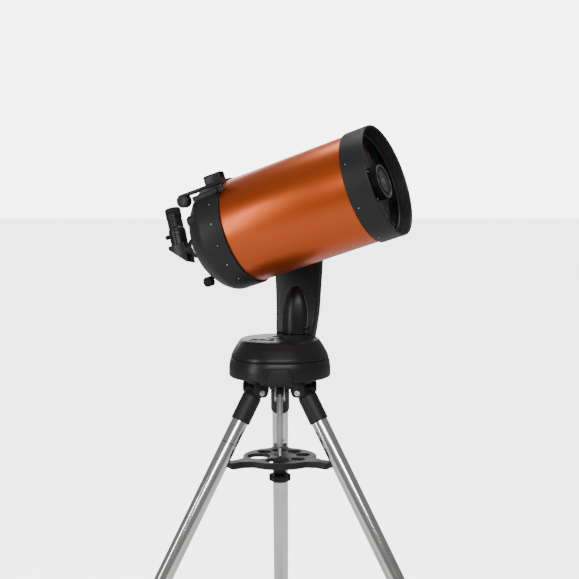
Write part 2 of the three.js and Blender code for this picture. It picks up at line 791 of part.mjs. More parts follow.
const eyepiece = turned([
  [0, 22],
  [BARREL_RADIUS, 22],
  [BARREL_RADIUS, SOCKET_TOP + GAP],
  [19, SOCKET_TOP + GAP],
  [19, 54],
  [17, 57.5],
  [17, 80],
  [18, 82],
  [18, 90],
  [0, 90],
]);
addPiece(diagonal, "eyepiece", eyepiece, satinBlack);
const eyecup = turnedRing([[12, 90.3], [17.5, 90.3], [18, 96], [17.5, 103], [14, 103], [12, 96]]);
addPiece(diagonal, "eyecup", eyecup, rubber);

// ---- Red-dot finder on its bracket, on the shoulder of the rear cell ----
const FINDER_FACE = -84; // the side away from the arm
const FINDER_INNER = -62;
const BRACKET_TOP = 96.5;
const BEAM = [103, 110]; // lower and upper face of the beam
const BATTERY = { station: -146, height: 95.5, radius: 15 };

const rearCellSpace = aboutX(rod(CELL_RADIUS + GAP, -130, -40, ROUND));
const bracket = cut(block([-122, FINDER_FACE, 84], [-46, -66, BRACKET_TOP]), rearCellSpace);
addPiece(optics, "finder_bracket", bracket, satinBlack);

const finder = cut(
  join(
    block([BATTERY.station, FINDER_FACE, BEAM[0]], [-42, FINDER_INNER, BEAM[1]]),
    block([-100, -80, BRACKET_TOP + GAP], [-60, -72, BEAM[0] + 1]),
    block([-82, FINDER_FACE - 2, 107], [-42, FINDER_INNER + 2, 128.5]),
    aboutY(rod(BATTERY.radius, FINDER_FACE, FINDER_INNER - 2, RUNNING)).translate(
      BATTERY.station,
      0,
      BATTERY.height,
    ),
  ),
  block([-83, FINDER_FACE + 1, 112], [-41, FINDER_INNER - 1, 125.5]),
);
addPiece(optics, "finder_body", finder, satinBlack);
const dial = aboutY(turned([[0, -7], [5, -6.6], [6, -5.5], [6, 0], [0, 0]], 20));
addPiece(optics, "finder_dial", dial, satinBlack).position.set(-62, FINDER_FACE - 0.4, 91);

// ---- Stand the telescope on its feet, over the middle of its own outline ----
telescope.updateMatrixWorld(true);
const outline = new THREE.Box3().setFromObject(telescope, true);
const middle = outline.getCenter(new THREE.Vector3());
telescope.position.set(-middle.x, -middle.y, -outline.min.z);

export default telescope;
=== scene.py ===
import json
import math

import bmesh
import bpy
from mathutils import Matrix, Vector
from mathutils.geometry import tessellate_polygon


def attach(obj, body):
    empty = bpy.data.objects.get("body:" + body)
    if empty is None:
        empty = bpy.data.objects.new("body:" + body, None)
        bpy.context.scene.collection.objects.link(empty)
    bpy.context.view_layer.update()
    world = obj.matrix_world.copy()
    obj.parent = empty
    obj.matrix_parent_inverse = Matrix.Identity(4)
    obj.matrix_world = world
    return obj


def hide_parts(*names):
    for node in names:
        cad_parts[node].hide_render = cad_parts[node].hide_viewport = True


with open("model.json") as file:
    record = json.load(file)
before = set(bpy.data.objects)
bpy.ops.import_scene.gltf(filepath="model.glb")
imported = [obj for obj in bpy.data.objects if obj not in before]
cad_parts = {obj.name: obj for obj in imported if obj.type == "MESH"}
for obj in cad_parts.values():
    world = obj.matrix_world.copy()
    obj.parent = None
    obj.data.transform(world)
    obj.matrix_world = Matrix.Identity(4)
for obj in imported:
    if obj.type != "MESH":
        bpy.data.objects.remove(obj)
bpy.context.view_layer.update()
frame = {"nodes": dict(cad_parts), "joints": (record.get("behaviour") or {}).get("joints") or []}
joints = {joint["name"]: joint for joint in frame["joints"]}

# ---- Studio ----
# The sky is white where it is seen and dim where it lights the object. Four large soft boxes,
# in front, at the left, above and behind, give the long highlights.
azimuth_post = Vector(joints["azimuth"]["pos_m"])
base_plane = azimuth_post - Vector((0, 0, 0.046))

camera = bpy.data.objects.new("camera", bpy.data.cameras.new("camera"))
camera.data.sensor_width = 36
camera.data.lens = 75.41
camera.location = base_plane + Vector((0.0196, -2.6534, 0.4421))
camera.rotation_euler = (math.radians(84.68), 0, math.radians(-0.04))
bpy.context.collection.objects.link(camera)
bpy.context.scene.camera = camera

SKY_SEEN = 6.0
SKY_LIGHT = 0.24
sky = bpy.data.worlds.new("sky")
sky.use_nodes = True
sky_nodes, sky_links = sky.node_tree.nodes, sky.node_tree.links
background = sky_nodes["Background"]
background.inputs["Color"].default_value = (1, 1, 1, 1)
ray = sky_nodes.new("ShaderNodeLightPath")
strength = sky_nodes.new("ShaderNodeMapRange")
strength.inputs["To Min"].default_value = SKY_LIGHT
strength.inputs["To Max"].default_value = SKY_SEEN
sky_links.new(ray.outputs["Is Camera Ray"], strength.inputs["Value"])
sky_links.new(strength.outputs["Result"], background.inputs["Strength"])
bpy.context.scene.world = sky


def soft_box(name, place, target, width, height, power):
    lamp = bpy.data.lights.new(name, "AREA")
    lamp.shape = "RECTANGLE"
    lamp.size = width
    lamp.size_y = height
    lamp.energy = power
    stand = bpy.data.objects.new(name, lamp)
    stand.location = place
    stand.rotation_euler = (Vector(target) - Vector(place)).to_track_quat("-Z", "Y").to_euler()
    bpy.context.collection.objects.link(stand)


middle = base_plane + Vector((0, 0, 0.3))
soft_box("soft_box_front", (0.1, -3.0, 2.3), middle, 3.6, 0.5, 78)
soft_box("soft_box_left", (-2.5, -1.5, 1.2), middle, 0.3, 1.8, 24)
soft_box("soft_box_top", (0.3, 0.5, 3.2), middle, 2.6, 1.0, 48)
soft_box("soft_box_behind", (-0.6, 2.8, 1.7), middle, 2.4, 1.2, 26)


# ---- Shader maths ----
class Socket:
    """An output of a shader node. Sums and products of sockets add Math nodes."""

    def __init__(self, tree, output):
        self.tree = tree
        self.output = output

    def node(self, kind, settings, inputs, out=0):
        """A node of the same tree, with its settings made first and then its sockets."""
        made = self.tree.nodes.new(kind)
        for key, value in settings.items():
            if key == "stops":
                ramp = made.color_ramp.elements
                ramp[0].position, ramp[0].color = value[0]
                ramp[1].position, ramp[1].color = value[1]
            else:
                setattr(made, key, value)
        for key, value in inputs.items():
            if isinstance(value, Socket):
                self.tree.links.new(value.output, made.inputs[key])
            else:
                made.inputs[key].default_value = value
        return Socket(self.tree, made.outputs[out])

    def maths(self, operation, first, second=0.0):
        return self.node("ShaderNodeMath", {"operation": operation}, {0: first, 1: second})

    def __add__(self, other):
        return self.maths("ADD", self, other)

    __radd__ = __add__

    def __mul__(self, other):
        return self.maths("MULTIPLY", self, other)

    __rmul__ = __mul__

    def __sub__(self, other):
        return self.maths("SUBTRACT", self, other)

    def __rsub__(self, other):
        return self.maths("SUBTRACT", other, self)

    def noise(self, scale, detail=3.0, roughness=0.55):
        inputs = {"Vector": self, "Scale": scale, "Detail": detail, "Roughness": roughness}
        return self.node("ShaderNodeTexNoise", {}, inputs)

    def stretched(self, scale):
        return self.node("ShaderNodeMapping", {}, {"Vector": self, "Scale": scale})

    def between(self, low, high):
        """The socket's value spread over 0 to 1 between two limits."""
        return self.node("ShaderNodeMapRange", {}, {"Value": self, "From Min": low, "From Max": high})

    def blend(self, first, second):
        """A colour that goes from the first to the second as the socket goes from 0 to 1."""
        settings = {"data_type": "RGBA"}
        return self.node("ShaderNodeMix", settings, {0: self, 6: first, 7: second}, out=2)


def finish(name, paint):
    """A material whose look is worked out by paint(point, shader) from a point of the piece."""
    material = bpy.data.materials.new(name)
    material.use_nodes = True
    tree = material.node_tree
    shader = tree.nodes["Principled BSDF"]
    point = Socket(tree, tree.nodes.new("ShaderNodeTexCoord").outputs["Object"])
    paint(point, shader)
    return material


def wire(shader, socket_name, value):
    """Sets a shader socket to a constant, or links a worked-out value to it."""
    if isinstance(value, Socket):
        value.tree.links.new(value.output, shader.inputs[socket_name])
    else:
        shader.inputs[socket_name].default_value = value


def bump(height, distance, strength=1.0):
    return height.node("ShaderNodeBump", {}, {"Height": height, "Distance": distance, "Strength": strength})


def colour(red, green, blue):
    return (red, green, blue, 1.0)


def black_coating(dark, light, rough, grain, depth):
    """A black finish: a fine grain, a slow change of tone and patches that are duller."""

    def paint(point, shader):
        cloud = point.noise(9.0, 4.0)
        fine = point.noise(grain, 2.0)
        wire(shader, "Base Color", (cloud * 0.6 + fine * 0.4).blend(colour(*dark), colour(*light)))
        wire(shader, "Roughness", rough - 0.06 + cloud * 0.12 + fine * 0.05)
        wire(shader, "Specular IOR Level", 0.27)
        wire(shader, "Normal", bump(fine, depth, 0.6))

    return paint


def plain_metal(tone, rough, streak_scale, dark=0.86):
    """A bare metal with fine turning marks and faint stains."""

    def paint(point, shader):
        marks = point.stretched(streak_scale).noise(60.0, 2.0)
        stain = point.noise(14.0, 4.0).between(0.35, 0.7)
        wire(shader, "Metallic", 1.0)
        wire(shader, "Base Color", stain.blend(colour(*tone), colour(*(part * dark for part in tone))))
        wire(shader, "Roughness", rough + marks * 0.1 + stain * 0.04)
        wire(shader, "Normal", bump(marks, 0.00004, 0.5))

    return paint


cast_black = finish(
    "cast_black",
    black_coating((0.008, 0.0085, 0.009), (0.02, 0.0205, 0.022), 0.42, 900, 0.00012),
)
moulded_black = finish(
    "moulded_black",
    black_coating((0.007, 0.0072, 0.008), (0.017, 0.0172, 0.019), 0.3, 1400, 0.00006),
)
plain_black = finish(
    "plain_black",
    black_coating((0.006, 0.006, 0.006), (0.014, 0.014, 0.015), 0.45, 1700, 0.00008),
)
# A black lightened to grey: painted highlight for the arm's edge bead.
bright_edge_black = finish(
    "bright_edge_black",
    black_coating((0.07, 0.07, 0.072), (0.11, 0.11, 0.112), 0.28, 1400, 0.00004),
)
rubber_black = finish(
    "rubber_black",
    black_coating((0.009, 0.009, 0.009), (0.024, 0.023, 0.022), 0.8, 1100, 0.00012),
)
# Near-black: the real colour of the baffle and the tube's lining, and also painted shade in the gaps round
# the base lugs and round the cell screws.
baffle_black = finish(
    "baffle_black",
    black_coating((0.002, 0.002, 0.002), (0.005, 0.005, 0.005), 0.75, 1500, 0.00005),
)
zinc_plate = finish("zinc_plate", plain_metal((0.62, 0.62, 0.60), 0.3, (1, 1, 1)))
turned_brass = finish("turned_brass", plain_metal((0.70, 0.50, 0.22), 0.25, (1, 1, 12)))
polished_steel = finish("polished_steel", plain_metal((0.80, 0.79, 0.77), 0.07, (1, 1, 0.04)))


# ---- Shapes in millimetres ----
class Shape:
    """Points in millimetres and the faces between them. Shapes add up into one."""

    def __init__(self, points, faces):
        self.points = [Vector(point) for point in points]
        self.faces = faces

    def at(self, place):
        return Shape([place @ point for point in self.points], self.faces)

    def moved(self, x=0.0, y=0.0, z=0.0):
        return self.at(Matrix.Translation((x, y, z)))

    def turned(self, degrees, axis):
        return self.at(Matrix.Rotation(math.radians(degrees), 4, axis))

    def __add__(self, other):
        shift = len(self.points)
        faces = self.faces + [tuple(corner + shift for corner in face) for face in other.faces]
        return Shape(self.points + other.points, faces)


def eased(corners, radius, closed=False, steps=3):
    """A line of 2-D corners with each corner rounded off."""
    count = len(corners)
    line = []
    for i, corner in enumerate(corners):
        here = Vector(corner)
        if not closed and i in (0, count - 1):
            line.append(here)
            continue
        before = Vector(corners[i - 1]) - here
        after = Vector(corners[(i + 1) % count]) - here
        reach = min(radius, before.length * 0.45, after.length * 0.45)
        start = here + before.normalized() * reach
        end = here + after.normalized() * reach
        for step in range(steps + 1):
            share = step / steps
            line.append(start * (1 - share) ** 2 + here * 2 * share * (1 - share) + end * share**2)
    return line


def turn(profile, sides=96, radius=0.6, closed=False):
    """A profile of (radius, height) corners turned about Z, with its corners rounded off."""
    line = eased(profile, radius, closed)
    points = []
    faces = []
    for r, z in line:
        for side in range(sides):
            angle = side / sides * math.tau
            points.append((r * math.cos(angle), r * math.sin(angle), z))
    rows = len(line)
    for row in range(rows if closed else rows - 1):
        low, high = row * sides, (row + 1) % rows * sides
        for side in range(sides):
            after = (side + 1) % sides
            faces.append((low + side, low + after, high + after, high + side))
    return Shape(points, faces)


def ring(inner, outer, low, high, sides=96, radius=0.5):
    corners = [(inner, low), (outer, low), (outer, high), (inner, high)]
    return turn(corners, sides, radius, closed=True)


def disc(outer, low, high, sides=48, radius=0.6):
    return turn([(0, low), (outer, low), (outer, high), (0, high)], sides, radius)


def polar(count, radius_at):
    """A closed outline whose radius changes with the angle."""
    outline = []
    for i in range(count):
        angle = i / count * math.tau
        outline.append((radius_at(angle) * math.cos(angle), radius_at(angle) * math.sin(angle)))
    return outline


def plate(outer, low, high, edge=0.6, holes=()):
    """A plate with holes, with every edge rounded over by the same amount."""
    loops = [[Vector(corner) for corner in loop] for loop in (outer, *holes)]
    levels = [(edge, low), (edge * 0.3, low + edge * 0.3), (0, low + edge)]
    levels += [(inset, low + high - z) for inset, z in reversed(levels)]
    points = []
    faces = []
    caps = {0: [], len(levels) - 1: []}
    for index, loop in enumerate(loops):
        count = len(loop)
        area = sum(loop[i - 1].cross(loop[i]) for i in range(count))
        outward = 1 if area > 0 else -1
        side = outward if index == 0 else -outward
        first = len(points)
        for level, (inset, z) in enumerate(levels):
            for i in range(count):
                along = (loop[(i + 1) % count] - loop[i - 1]).normalized()
                spot = loop[i] - Vector((along.y, -along.x)) * inset * side
                points.append((spot.x, spot.y, z))
            if level in caps:
                caps[level].append(range(len(points) - count, len(points)))
        for level in range(len(levels) - 1):
            low_row, high_row = first + level * count, first + (level + 1) * count
            for i in range(count):
                after = (i + 1) % count
                faces.append((low_row + i, low_row + after, high_row + after, high_row + i))
    for rows in caps.values():
        order = [index for row in rows for index in row]
        outlines = [[Vector(points[index]) for index in row] for row in rows]
        faces += [tuple(order[corner] for corner in face) for face in tessellate_polygon(outlines)]
    return Shape(points, faces)


def block(low, high, edge=0.6):
    """A block between two corners, with rounded edges."""
    (x0, y0, z0), (x1, y1, z1) = low, high
    corners = [(x0, y0), (x1, y0), (x1, y1), (x0, y1)]
    return plate(eased(corners, edge * 2, closed=True), z0, z1, edge)


def loft(loops):
    """A skin over a stack of like closed loops, closed at both ends."""
    count = len(loops[0])
    points = [point for loop in loops for point in loop]
    faces = []
    for row in range(len(loops) - 1):
        for i in range(count):
            after = (i + 1) % count
            low, high = row * count, (row + 1) * count
            faces.append((low + i, low + after, high + after, high + i))
    for loop, first in ((loops[0], 0), (loops[-1], len(points) - count)):
        points.append(sum((Vector(point) for point in loop), Vector()) / count)
        for i in range(count):
            faces.append((first + i, first + (i + 1) % count, len(points) - 1))
    return Shape(points, faces)


def bead(path, radius, sides=10):
    """A round rod along a line of points, with closed ends."""
    path = [Vector(point) for point in path]
    loops = []
    for i, spot in enumerate(path):
        along = (path[min(i + 1, len(path) - 1)] - path[max(i - 1, 0)]).normalized()
        across = along.orthogonal() if i == 0 else (across - along * across.dot(along))
        across = across.normalized()
        up = along.cross(across)
        angles = [side / sides * math.tau for side in range(sides)]
        loops.append([spot + (across * math.cos(a) + up * math.sin(a)) * radius for a in angles])
    return loft(loops)


def axes(origin, x, y):
    """The place of a part's own frame, in metres, for shapes made in millimetres."""
    x, y = Vector(x).normalized(), Vector(y).normalized()
    turned_axes = Matrix((x, y, x.cross(y))).transposed().to_4x4()
    return Matrix.Translation(origin) @ turned_axes @ Matrix.Scale(0.001, 4)


def piece(name, shape, place, material, body, nodes=(), smooth=38):
    """A finished piece: its mesh, its material, the body it rides on and the solids it replaces."""
    mesh = bpy.data.meshes.new(name)
    mesh.from_pydata([place @ point for point in shape.points], [], shape.faces)
    made = bpy.data.objects.new(name, mesh)
    bpy.context.collection.objects.link(made)
    clean_up(mesh, smooth)
    mesh.materials.append(material)
    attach(made, body)
    if nodes:
        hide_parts(*nodes)
    return made


def clean_up(mesh, smooth):
    """Welds doubled points, drops empty faces, turns all faces outwards and smooths them."""
    work = bmesh.new()
    work.from_mesh(mesh)
    bmesh.ops.remove_doubles(work, verts=work.verts, dist=0.000004)
    bmesh.ops.dissolve_degenerate(work, edges=work.edges, dist=0.000002)
    bmesh.ops.recalc_face_normals(work, faces=work.faces)
    work.to_mesh(mesh)
    work.free()
    mesh.shade_smooth()
    mesh.set_sharp_from_angle(angle=math.radians(smooth))


# ---- Tripod head ----
# A cast disc with three pairs of ears. Each pair holds a leg on a zinc-plated bolt, and thin
# webs run under the disc from the ears to its middle.
base_place = axes(base_plane, (1, 0, 0), (0, 1, 0))
LEG_AZIMUTHS = {"rear": 90, "left": 210, "right": 330}
EAR = [(44.2, 4), (44.2, -24), (50, -35.8), (71, -35.8), (76.8, -27), (76.8, -8), (70, 4)]

head = turn([(8.4, -8), (75, -8), (75, 8), (73, 10), (8.4, 10)], 120, 1.0, closed=True)
for azimuth in LEG_AZIMUTHS.values():
    for near in (-31, 25):
        ear = plate(eased(EAR, 7, closed=True, steps=5), near, near + 6, 0.9).turned(90, "X")
        head += ear.turned(azimuth, "Z")
    for offset in (-13, 13):
        head += block((26, offset - 1.5, -17), (72, offset + 1.5, -7), 0.5).turned(azimuth, "Z")
piece("tripod_head_casting", head, base_place, cast_black, "base", ["tripod_head"])


def bolt_head(radius, height):
    """A low domed bolt head with a hexagonal socket."""
    dome = [(radius, 0), (radius, height * 0.5), (radius * 0.8, height), (radius * 0.5, height)]
    well = [(radius * 0.46, height - 0.4), (radius * 0.42, height * 0.35), (0, height * 0.35)]
    return turn([(0, 0), *dome, *well], 36, radius * 0.08)


def hexagon(radius, low, high, edge=0.4):
    return plate(eased(polar(6, lambda angle: radius), radius * 0.08, closed=True), low, high, edge)


def leg_place(side):
    down = Vector(joints["leg_extend_" + side]["axis"])
    across = Vector(joints["leg_fold_" + side]["axis"])
    return axes(joints["leg_fold_" + side]["pos_m"], across.cross(-down), across)


# ---- Legs ----
# Polished stainless tubes in black cast sleeves. The lower section slides out of the tube
# through a split collar, which a five-lobed knob closes, and ends in a rubber boot.
SLEEVE = [
    (0, -4), (16, -4), (21.2, -14), (21.2, -66), (21.3, -68), (21.3, -73), (18.6, -73),
    (18.6, -22), (0, -22),
]
COLLAR = [
    (18.55, -688), (22.2, -688), (23, -690), (23, -714), (20, -724), (16.2, -724), (16.2, -714),
    (18.55, -713),
]
BOOT = [
    (0, -744.3), (15.5, -744.3), (17.5, -747), (17.5, -750), (19, -752), (19, -756),
    (18.2, -757), (18.2, -760),
]
BOOT += [(19.8, -761), (19.8, -765), (19, -766), (19, -769), (20.4, -772), (20.4, -830), (0, -830)]
CLAMP_LEVEL = -701
five_lobes = polar(80, lambda angle: 14.4 + 1.1 * math.cos(5 * angle))


def cut_level(place, shape):
    """Slides every point that is under the floor back along the leg to floor level."""
    up = place.to_3x3() @ Vector((0, 0, 1))
    points = []
    for point in shape.points:
        depth = -(place @ point).z
        points.append(point + Vector((0, 0, max(depth, 0) / up.z)))
    return Shape(points, shape.faces)


for side in LEG_AZIMUTHS:
    place = leg_place(side)
    leg, section, screw = "leg_" + side, "foot_section_" + side, "clamp_screw_" + side

    bolt = disc(4, -32, 32, 32)
    bolt += bolt_head(7, 4).moved(z=31.2) + hexagon(7, -35.2, -31.2)
    piece("hinge_bolt_" + side, bolt.turned(90, "X"), place, zinc_plate, "base", ["leg_pin_" + side])

    sleeve = turn(SLEEVE, 96, 1.4) + disc(13, -24.4, 24.4, 64, 1.2).turned(90, "X")
    piece("leg_socket_" + side, sleeve, place, cast_black, leg, ["leg_sleeve_" + side])
    tube = ring(16.8, 18.2, -712, -22.4, 96, 0.4)
    piece("upper_tube_" + side, tube, place, polished_steel, leg, ["leg_tube_" + side])

    collar = turn(COLLAR, 96, 1.0, closed=True)
    collar += disc(9, 19.6, 30, 48, 1.0).turned(90, "Y").moved(z=CLAMP_LEVEL)
    collar += block((-24.5, -4, -714), (-20, 4, -690), 0.8)
    piece("clamp_collar_" + side, collar, place, cast_black, leg, ["leg_clamp_" + side])
    knob = plate(five_lobes, 30.4, 39.5, 1.4) + disc(9.5, 38, 41.9, 48, 1.2) + disc(3, 23, 31, 24)
    knob = knob.turned(90, "Y").moved(z=CLAMP_LEVEL)
    piece("clamp_grip_" + side, knob, place, plain_black, screw, ["clamp_knob_" + side])

    inner = ring(14.6, 15.8, -743.9, -330.2, 96, 0.4)
    piece("lower_tube_" + side, inner, place, polished_steel, section, ["lower_leg_" + side])
    boot = cut_level(place, turn(BOOT, 96, 0.8))
    piece("rubber_boot_" + side, boot, place, rubber_black, section, ["leg_foot_" + side])

# A thin painted ring marks one leg.
band = ring(17.9, 18.24, -127, -125.4, 96, 0.1)
piece("index_band", band, leg_place("left"), plain_black, "leg_left")


# ---- Centre rod, accessory tray and its knob ----
# The rod hangs in a bright bracket. The pressed tray slides on it and holds eyepieces in
# seven rimmed holes, and a six-lobed knob under it draws the arms against the legs.
rod_profile = [(0, -8.4), (24, -8.4), (24, -13), (14, -15), (14, -18), (0, -18)]
rod = turn(rod_profile, 64, 0.8)
for x in (-11.5, 8.5):
    rod += block((x, -9, -52.5), (x + 3, 9, -16), 0.6)
rod += disc(4.4, -12.5, 12.5, 32, 0.6).turned(90, "Y").moved(z=-45)
rod += turn([(0, -36), (6.9, -37), (6.9, -156), (5.2, -158), (0, -158)], 64, 0.5)
THREAD_PITCH = 2.0
thread = [(0, -157)]
for turn_number in range(36):
    crest = -159 - turn_number * THREAD_PITCH
    thread += [(4.9, crest), (4.3, crest - THREAD_PITCH / 2)]
thread += [(4.2, -231.8), (0, -231.8)]
rod += turn(thread, 32, 0.2)
piece("rod_and_bracket", rod, base_place, zinc_plate, "base", ["centre_rod"])

TRAY_RADIUS = 82
ARM = [(79, -23), (104, -13), (119, -15.5), (128.6, -14.5), (128.6, 14.5), (119, 15.5), (104, 13), (79, 23)]
rim = []
for azimuth in sorted(LEG_AZIMUTHS.values()):
    turned_by = Matrix.Rotation(math.radians(azimuth), 2)
    rim += [turned_by @ Vector(corner) for corner in ARM]
    for step in range(1, 10):
        angle = math.radians(azimuth + 17 + step * 8.6)
        rim.append(Vector((math.cos(angle), math.sin(angle))) * TRAY_RADIUS)
HOLES = [
    (25, 47, 185), (25, 47, 265), (15.5, 52, -40), (15.5, 52, 10), (15.5, 52, 51),
    (15.5, 52, 92), (15.5, 52, 132),
]
openings = []
rims = ring(5.5, 16, -204.9, -178, 64, 0.8)
for radius, distance, angle in HOLES:
    spot = Vector((math.cos(math.radians(angle)), math.sin(math.radians(angle)))) * distance
    openings.append([spot + Vector(corner) for corner in polar(56, lambda angle: radius)])
    lip = ring(radius + 0.1, radius + 1.5, -184, -176.1, 56, 0.5)
    rims += lip.moved(spot.x, spot.y)
openings.append([Vector(corner) for corner in polar(24, lambda angle: 5.5)])
tray = plate(eased(rim, 5, closed=True), -180.5, -176.1, 0.9, openings) + rims
skirt = eased([corner * 0.985 for corner in rim], 5, closed=True)
skirt_inside = [corner * 0.975 for corner in skirt]
tray += plate(skirt, -190, -179, 0.5, [skirt_inside])
piece("pressed_tray", tray, base_place, cast_black, "tray", ["accessory_tray"], smooth=50)

six_lobes = polar(96, lambda angle: 22 + 2.1 * math.cos(6 * angle))
grip = ring(5.4, 13.8, -217, -205.4, 64, 1.0) + plate(six_lobes, -233, -216.5, 2.2)
grip += disc(12, -235.8, -231, 48, 1.6)
piece("tray_grip", grip, base_place, plain_black, "tray_nut", ["tray_knob"])


# ---- Base ----
# Two moulded shells that meet at a fine seam. The lower one is fixed to the tripod by three
# trapezoid lugs, and the upper one, a smooth dome under a crowned deck, turns with the arm.
away = -Vector(joints["altitude"]["axis"])
mount_place = axes(base_plane, (away.y, -away.x, 0), away)

lower = [
    (8.4, 10.4), (105.2, 10.4), (105.2, 5.2), (110.2, 5.2), (112, 8), (112, 25), (110.6, 36),
    (108.2, 45.5),
]
lower += [(105.2, 45.5), (107.2, 34), (108.6, 24), (108.6, 14), (8.4, 14)]
shell = turn(lower, 160, 1.2, closed=True)
piece("lower_shell_moulding", shell, base_place, moulded_black, "base", ["lower_base_shell"])
LUG = [(-27, -1), (27, -1), (27, 12), (17.5, 35), (-17.5, 35), (-27, 12)]
INNER_LUG = [(-21, 3), (21, 3), (21, 11), (14, 30), (-14, 30), (-21, 11)]
# Round each lug a thin near-black outline stands just proud of the shell. It is painted shade for the gap
# between lug and shell.
lugs = Shape([], [])
lug_gap_shade = Shape([], [])
for azimuth in (-90, 30, 150):
    lug = plate(eased(LUG, 2.0, closed=True), 106, 113.6, 0.7)
    lug += plate(eased(INNER_LUG, 2.5, closed=True), 112, 114.3, 0.6)
    lugs += lug.turned(90, "X").turned(azimuth + 90, "Z")
    line = [(x * 1.045, 17 + (z - 17) * 1.04) for x, z in LUG]
    joint = plate(eased(line, 2.0, closed=True), 106, 112.5, 0.2)
    lug_gap_shade += joint.turned(90, "X").turned(azimuth + 90, "Z")
piece("base_lugs", lugs, base_place, cast_black, "base")
# Painted shade in the gaps round the lugs.
piece("base_lug_joints", lug_gap_shade, base_place, baffle_black, "base")

DOME = [(85, 87), (88, 84.5), (91, 80), (97, 71), (103, 60), (106.5, 53), (107.8, 46.4)]
deck = [(27.9, 85), (27.9, 88.4), (29.5, 89), (76, 88.0), (77.6, 87.0), (79.6, 86.9), (81, 87.5)]
inside = [(104.6, 46.4), (103, 53), (98, 63), (83, 84)]
dome = turn(deck + DOME + inside, 160, 1.6, closed=True)
upper_shell = piece("upper_shell_moulding", dome, mount_place, moulded_black, "mount", ["upper_base_shell"])


def carve(made, tool, place):
    """Cuts a tool's shape out of a finished piece."""
    mesh = bpy.data.meshes.new("tool")
    mesh.from_pydata([place @ point for point in tool.points], [], tool.faces)
    cutter = bpy.data.objects.new("tool", mesh)
    bpy.context.collection.objects.link(cutter)
    clean_up(mesh, 30)
    cutting = made.modifiers.new("cut", "BOOLEAN")
    cutting.operation = "DIFFERENCE"
    cutting.solver = "EXACT"
    cutting.object = cutter
    scene_now = bpy.context.evaluated_depsgraph_get()
    result = bpy.data.meshes.new_from_object(made.evaluated_get(scene_now))
    made.modifiers.remove(cutting)
    made.data = result
    result.set_sharp_from_angle(angle=math.radians(35))
    bpy.data.objects.remove(cutter)


carve(upper_shell, block((-46.3, -60.3, 80), (10.3, -37.7, 95), 0.8), mount_place)

# The battery lid has a dished finger grip, and the panel beside it holds two sockets and a rocker.
lid = [(0, 84.9), (27.3, 84.9), (27.3, 88.6), (26, 90), (19, 90.5), (16.5, 90.5), (14, 89.2), (0, 88.7)]
lid_shape = turn(lid, 96, 1.0) + block((-1.2, -13, 88.4), (1.2, 13, 90.3), 0.5)
piece("battery_cover", lid_shape, mount_place, moulded_black, "lid", ["battery_lid"])

panel = [(-46, -60), (10, -60), (10, -38), (-46, -38)]
windows = [[(x - 6, -56), (x + 6, -56), (x + 6, -42), (x - 6, -42)] for x in (-37, -20)]
windows.append([(-6.4, -56.5), (6.4, -56.5), (6.4, -41.5), (-6.4, -41.5)])
windows = [eased(window, 1.2, closed=True) for window in windows]
panel_shape = plate(eased(panel, 2.0, closed=True), 84.9, 88.9, 0.4, windows)
for x in (-37, -20):
    panel_shape += block((x - 6.4, -56.4, 84.95), (x + 6.4, -41.6, 86), 0.2)
    panel_shape += ring(2.4, 4.6, 85.5, 87.9, 36, 0.4).moved(x, -49)
    panel_shape += disc(0.9, 85.5, 87.6, 16, 0.2).moved(x, -49)
piece("socket_panel", panel_shape, mount_place, plain_black, "mount", ["port_panel"])
rocker = block((-6, -6.5, -2.5), (6, 6.5, 2.5), 0.8) + block((-2.5, 3.4, 2.2), (2.5, 4.2, 2.9), 0.2)
rocker = rocker.turned(10, "X").moved(0, -49, 87)
piece("switch_rocker", rocker, mount_place, plain_black, "switch", ["power_switch"])

for node, metal in (
    ("turntable", cast_black),
    ("battery_pack", plain_black),
    ("azimuth_motor", zinc_plate),
    ("azimuth_gear", turned_brass),
    ("altitude_gear", turned_brass),
    ("altitude_motor", zinc_plate),
    ("altitude_shaft", zinc_plate),
):
    frame["nodes"][node].data.materials.clear()
    frame["nodes"][node].data.materials.append(metal)


# ---- Arm ----
# One tall arm of D section, moulded in two halves that meet on an upright plane. A pointed
# half column on the inner half stiffens its foot, and has a raised bead along its edge.
ARM_LEVELS = [
    (54, 34, 79, 112),
    (74, 42.5, 79, 132),
    (96, 46, 80, 147),
    (140, 49.5, 89, 155),
    (193, 52.5, 92, 157),
    (250, 56, 93, 158),
    (300, 58.5, 93, 157),
    (346, 58, 92, 154),
    (375, 50, 92, 148),
    (395, 31, 94, 138),
    (404, 8, 99, 126),
]
SPLIT = 105
DECK_TOP = 89.2


def between_levels(levels, parts):
    """The levels, with smooth ones added between them."""
    fine = []
    for i in range(len(levels) - 1):
        ends = [Vector(levels[max(min(i + k, len(levels) - 1), 0)]) for k in (-1, 0, 1, 2)]
        for part in range(parts):
            t = part / parts
            slope_in, slope_out = (ends[2] - ends[0]) / 2, (ends[3] - ends[1]) / 2
            spot = ends[1] * (2 * t**3 - 3 * t**2 + 1) + slope_in * (t**3 - 2 * t**2 + t)
            spot += ends[2] * (3 * t**2 - 2 * t**3) + slope_out * (t**3 - t**2)
            fine.append((levels[i][0] + t * (levels[i + 1][0] - levels[i][0]), *spot[1:4]))
    return fine + [levels[-1]]


def dome_reach(height):
    """How far out the base's dome comes at a height, with a gap round it."""
    for (outer, low), (inner, high) in zip(DOME[::-1], DOME[-2::-1]):
        if low <= height <= high:
            return outer + (inner - outer) * (height - low) / (high - low) + 0.7
    return 0.0


